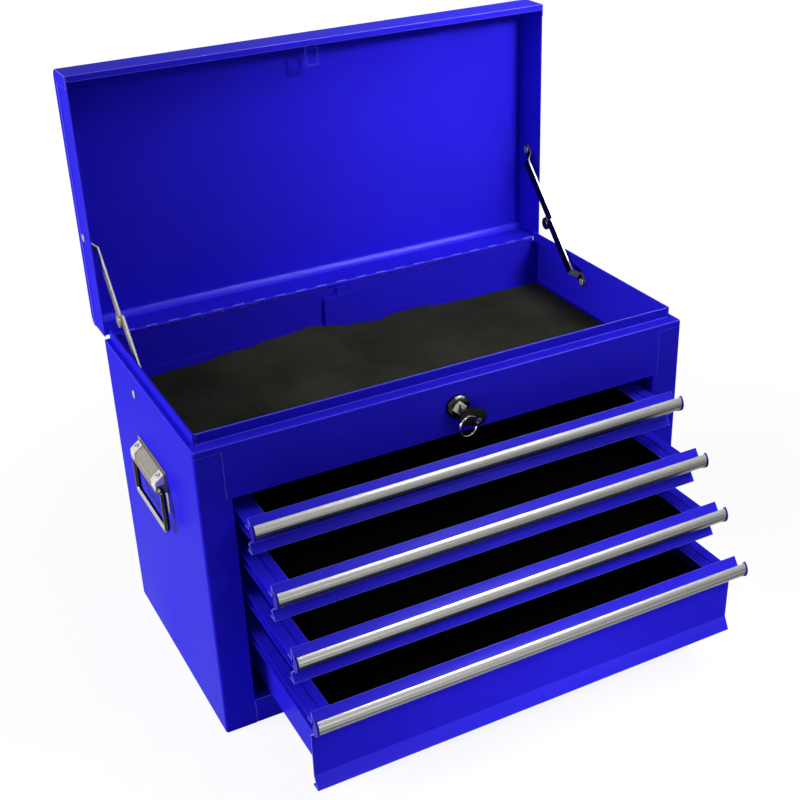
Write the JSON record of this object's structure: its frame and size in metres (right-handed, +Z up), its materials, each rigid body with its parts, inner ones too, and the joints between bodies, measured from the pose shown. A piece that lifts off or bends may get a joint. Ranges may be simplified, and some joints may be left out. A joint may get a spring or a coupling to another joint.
{
  "type": "tool chest",
  "caption": "Steel tool chest with a hinged lid over a tray, full-width drawers on slides, folding lid stays, side bail handles and a keyed lock.",
  "frame": {"origin": "centre of the underside of the case", "axes": "+X to the right seen from the front, +Y to the rear, +Z up; the drawers open towards -Y"},
  "size_m": [0.6284, 0.5419, 0.67],
  "materials": {
    "blue_paint": "semi-gloss powder coat",
    "brushed_trim": "satin anodised",
    "chrome_hardware": "polished",
    "nickel_steel": "bright nickel plate",
    "zinc_steel": "dull zinc plate",
    "blue_plastic": "smooth moulded",
    "black_foam": "matt foam rubber sheet",
    "black_plastic": "satin moulded"
  },
  "bodies": {
    "case": {"case_wrapper": "blue_paint", "header_panel": "blue_paint", "base_pan": "blue_paint", "tray_floor": "blue_paint", "tray_mat": "black_foam", "lock_bar_channel": "blue_paint", "rail_uprights": "blue_paint", "rails_left": "blue_paint", "rails_right": "blue_paint", "hinge_case_leaf": "blue_paint", "hinge_pin": "blue_paint", "stay_rivets_case": "nickel_steel", "handle_bracket_left": "chrome_hardware", "handle_bracket_right": "chrome_hardware", "lock_housing": "chrome_hardware"},
    "lid": {"lid_panel": "blue_paint", "lid_end_left": "blue_paint", "lid_end_right": "blue_paint", "lid_striker": "blue_paint", "hinge_lid_leaf": "blue_paint", "stay_rivets_lid": "nickel_steel"},
    "stay_foot_left": {"stay_lower_left": "nickel_steel"},
    "stay_foot_right": {"stay_lower_right": "nickel_steel"},
    "stay_head_left": {"stay_upper_left": "nickel_steel"},
    "stay_head_right": {"stay_upper_right": "nickel_steel"},
    "bail_left": {"handle_bail_left": "chrome_hardware"},
    "bail_right": {"handle_bail_right": "chrome_hardware"},
    "lock_core": {"lock_plug": "chrome_hardware", "lock_cam": "zinc_steel", "key_blade": "chrome_hardware"},
    "folding_key": {"key_head": "black_plastic", "key_ring": "chrome_hardware"},
    "drawer_lock_bar": {"lock_bar": "blue_paint"},
    "drawer_1": {"drawer_1_front": "blue_paint", "drawer_1_pan": "blue_paint", "drawer_1_trim": "brushed_trim", "drawer_1_caps": "blue_plastic", "drawer_1_mat": "black_foam", "drawer_1_slides": "blue_paint"},
    "drawer_2": {"drawer_2_front": "blue_paint", "drawer_2_pan": "blue_paint", "drawer_2_trim": "brushed_trim", "drawer_2_caps": "blue_plastic", "drawer_2_mat": "black_foam", "drawer_2_slides": "blue_paint"},
    "drawer_3": {"drawer_3_front": "blue_paint", "drawer_3_pan": "blue_paint", "drawer_3_trim": "brushed_trim", "drawer_3_caps": "blue_plastic", "drawer_3_mat": "black_foam", "drawer_3_slides": "blue_paint"},
    "drawer_4": {"drawer_4_front": "blue_paint", "drawer_4_pan": "blue_paint", "drawer_4_trim": "brushed_trim", "drawer_4_caps": "blue_plastic", "drawer_4_mat": "black_foam", "drawer_4_slides": "blue_paint"}
  },
  "joints": [
    {"name": "lid_hinge", "type": "hinge", "parent": "case", "child": "lid", "pos_m": [0, 0.153, 0.364], "axis": [1, 0, 0], "range_deg": [0, 90]},
    {"name": "stay_foot_left", "type": "hinge", "parent": "case", "child": "stay_foot_left", "pos_m": [-0.29, 0.044, 0.3385], "axis": [1, 0, 0], "range_deg": [0, 144.5]},
    {"name": "stay_head_left", "type": "hinge", "parent": "lid", "child": "stay_head_left", "pos_m": [-0.29, 0.1786, 0.479], "axis": [1, 0, 0], "range_deg": [-107.7, 0]},
    {"name": "stay_foot_right", "type": "hinge", "parent": "case", "child": "stay_foot_right", "pos_m": [0.29, 0.044, 0.3385], "axis": [1, 0, 0], "range_deg": [0, 144.5]},
    {"name": "stay_head_right", "type": "hinge", "parent": "lid", "child": "stay_head_right", "pos_m": [0.29, 0.1786, 0.479], "axis": [1, 0, 0], "range_deg": [-107.7, 0]},
    {"name": "drawer_1_slide", "type": "slide", "parent": "case", "child": "drawer_1", "axis": [0, -1, 0], "range_m": [-0.04, 0.175]},
    {"name": "drawer_2_slide", "type": "slide", "parent": "case", "child": "drawer_2", "axis": [0, -1, 0], "range_m": [-0.09, 0.125]},
    {"name": "drawer_3_slide", "type": "slide", "parent": "case", "child": "drawer_3", "axis": [0, -1, 0], "range_m": [-0.13, 0.085]},
    {"name": "drawer_4_slide", "type": "slide", "parent": "case", "child": "drawer_4", "axis": [0, -1, 0], "range_m": [-0.17, 0.045]},
    {"name": "bail_left_swing", "type": "hinge", "parent": "case", "child": "bail_left", "pos_m": [-0.309, 0.002, 0.263], "axis": [0, 1, 0], "range_deg": [0, 100]},
    {"name": "bail_right_swing", "type": "hinge", "parent": "case", "child": "bail_right", "pos_m": [0.309, 0.002, 0.263], "axis": [0, -1, 0], "range_deg": [0, 100]},
    {"name": "lock_turn", "type": "hinge", "parent": "case", "child": "lock_core", "pos_m": [0, -0.15, 0.331], "axis": [0, 1, 0], "range_deg": [0, 80]},
    {"name": "key_fold", "type": "hinge", "parent": "lock_core", "child": "folding_key", "pos_m": [0, -0.1657, 0.33], "axis": [-1, 0, 0], "range_deg": [0, 90]},
    {"name": "lock_bar_drop", "type": "slide", "parent": "case", "child": "drawer_lock_bar", "axis": [0, 0, -1], "range_m": [0, 0.0081]}
  ],
  "couplings": [
    {"joint": "stay_foot_left", "follows": "lid_hinge", "ratio": 1.6048},
    {"joint": "stay_head_left", "follows": "lid_hinge", "ratio": -1.1955},
    {"joint": "stay_foot_right", "follows": "lid_hinge", "ratio": 1.6048},
    {"joint": "stay_head_right", "follows": "lid_hinge", "ratio": -1.1955},
    {"joint": "lock_bar_drop", "follows": "lid_hinge", "m_per_rad": 0.005093}
  ]
}
